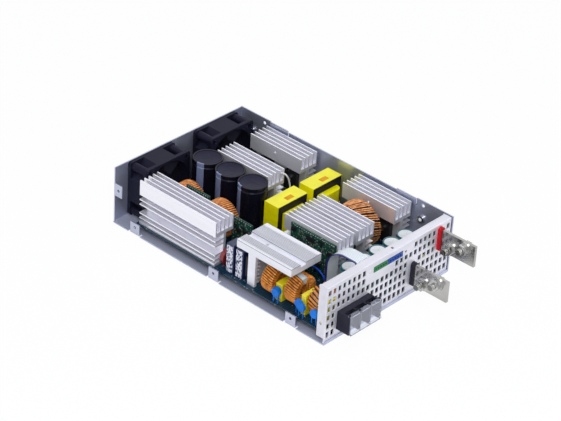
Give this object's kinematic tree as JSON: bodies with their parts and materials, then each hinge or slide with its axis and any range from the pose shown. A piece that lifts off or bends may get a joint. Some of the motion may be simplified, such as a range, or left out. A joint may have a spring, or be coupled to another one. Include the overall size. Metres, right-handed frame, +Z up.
{
  "type": "switching power supply",
  "caption": "Open-frame switching power supply: folded tray with fans, finned heatsinks and chokes on a board, slotted front panel with busbars and mains terminals.",
  "frame": {"origin": "centre of the tray's underside, the middle of its four mounting holes", "axes": "+X towards the tall right wall, -Y out of the front panel with the busbars, +Z up"},
  "size_m": [0.1778, 0.3226, 0.0625],
  "materials": {
    "case_sheet": "satin",
    "panel_plate": "satin",
    "zinc": "satin",
    "fan_black": "matt",
    "board_green": "gloss",
    "sink_aluminium": "satin",
    "package_black": "matt",
    "winding_copper": "gloss enamel",
    "core_grey": "matt",
    "tape_yellow": "gloss",
    "can_black": "gloss",
    "can_teal": "gloss",
    "case_grey": "gloss",
    "film_blue": "gloss",
    "disc_blue": "gloss",
    "varistor_red": "gloss",
    "nickel": "plated",
    "sleeve_black": "matt",
    "sleeve_red": "matt",
    "ribbon_grey": "satin",
    "socket_white": "matt",
    "connector_green": "matt",
    "connector_blue": "matt",
    "terminal_black": "satin",
    "cover_clear": "clear"
  },
  "bodies": {
    "supply": {"base_tray": "case_sheet", "front_panel": "panel_plate", "press_nuts": "zinc", "board_standoffs": "zinc", "m3_screws": "zinc", "fan_frame_left": "fan_black", "fan_frame_right": "fan_black", "fan_screws": "zinc", "main_board": "board_green", "control_board": "board_green", "sense_board": "board_green", "gate_board": "board_green", "signal_board": "board_green", "ribbon_cable": "ribbon_grey", "ribbon_sockets": "socket_white", "signal_connector_green": "connector_green", "signal_connector_blue": "connector_blue", "heatsink_left": "sink_aluminium", "heatsink_rear_centre": "sink_aluminium", "heatsink_rear_right": "sink_aluminium", "heatsink_front_right": "sink_aluminium", "heatsink_centre_left": "sink_aluminium", "heatsink_centre_right": "sink_aluminium", "rectifier_heatsink": "sink_aluminium", "power_transistors": "package_black", "bridge_rectifier": "package_black", "heatsink_screws": "zinc", "boost_choke_winding_rear": "winding_copper", "boost_choke_winding_front": "winding_copper", "boost_choke_cores": "core_grey", "output_choke_core": "core_grey", "output_choke_winding": "winding_copper", "filter_choke_winding_rear": "winding_copper", "filter_choke_winding_middle": "winding_copper", "filter_choke_winding_front": "winding_copper", "filter_choke_cores": "core_grey", "transformer_core_left": "core_grey", "transformer_core_right": "core_grey", "transformer_winding_left": "tape_yellow", "transformer_winding_right": "tape_yellow", "transformer_tapes": "tape_yellow", "bulk_capacitor_rear": "can_black", "bulk_capacitor_middle": "can_black", "bulk_capacitor_front": "can_black", "output_capacitors": "can_teal", "x_capacitors": "case_grey", "film_capacitors": "film_blue", "y_capacitors": "disc_blue", "varistor": "varistor_red", "busbar_negative": "nickel", "busbar_positive": "nickel", "busbar_sleeve_black": "sleeve_black", "busbar_sleeve_red": "sleeve_red", "busbar_bolts": "zinc", "busbar_nuts": "zinc", "terminal_block": "terminal_black", "terminal_screws": "zinc"},
    "rotor_left": {"fan_rotor_left": "fan_black"},
    "rotor_right": {"fan_rotor_right": "fan_black"},
    "cover": {"terminal_cover": "cover_clear"}
  },
  "joints": [
    {"name": "fan_left_spin", "type": "hinge", "parent": "supply", "child": "rotor_left", "pos_m": [-0.041, 0.1253, 0.0321], "axis": [0, 1, 0], "continuous": true},
    {"name": "fan_right_spin", "type": "hinge", "parent": "supply", "child": "rotor_right", "pos_m": [0.048, 0.1253, 0.0321], "axis": [0, 1, 0], "continuous": true},
    {"name": "cover_hinge", "type": "hinge", "parent": "supply", "child": "cover", "pos_m": [-0.0496, -0.1508, 0.03], "axis": [-1, 0, 0], "range_deg": [0, 105]}
  ]
}
